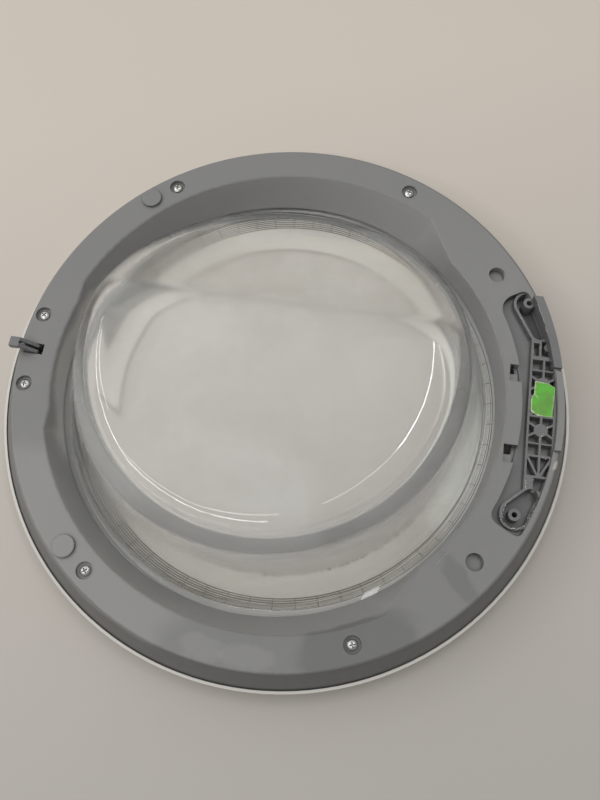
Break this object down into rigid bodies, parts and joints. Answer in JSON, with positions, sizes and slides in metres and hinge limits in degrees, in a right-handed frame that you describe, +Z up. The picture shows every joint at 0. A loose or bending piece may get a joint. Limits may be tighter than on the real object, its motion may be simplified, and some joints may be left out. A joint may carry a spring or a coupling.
{
  "type": "washing machine door",
  "caption": "Round front-loader door, rear side up: grey ring, clear glass bowl with a sloping upper side, sprung latch hook and a ribbed hinge seat with its lower end broken.",
  "frame": {"origin": "centre of the round rim, on the plane of the front face the door rests on", "axes": "+Z up through the glass bowl, +X towards the hinge seat, +Y towards the sloping side of the bowl (the top of the hung door)"},
  "size_m": [0.46, 0.46, 0.123],
  "materials": {
    "white_abs": "moulded, satin",
    "grey_abs": "moulded, fine grain",
    "bowl_glass": "polished, clear",
    "dark_plastic": "moulded, fine grain",
    "zinc_steel": "zinc plated",
    "green_film": "printed film, torn"
  },
  "bodies": {
    "door": {"front_frame": "white_abs", "inner_frame": "grey_abs", "door_glass": "bowl_glass", "hinge_bracket": "dark_plastic", "latch_pin": "zinc_steel", "latch_spring": "zinc_steel", "frame_screws": "zinc_steel", "buffer_plugs": "grey_abs", "hinge_label": "green_film"},
    "hook": {"latch_hook": "dark_plastic"}
  },
  "joints": [
    {"name": "hook_pivot", "type": "hinge", "parent": "door", "child": "hook", "pos_m": [-0.203, 0, 0.039], "axis": [0, 1, 0], "range_deg": [0, 12], "stiffness_Nm_per_rad": 0.15, "springref_deg": -17.19}
  ]
}
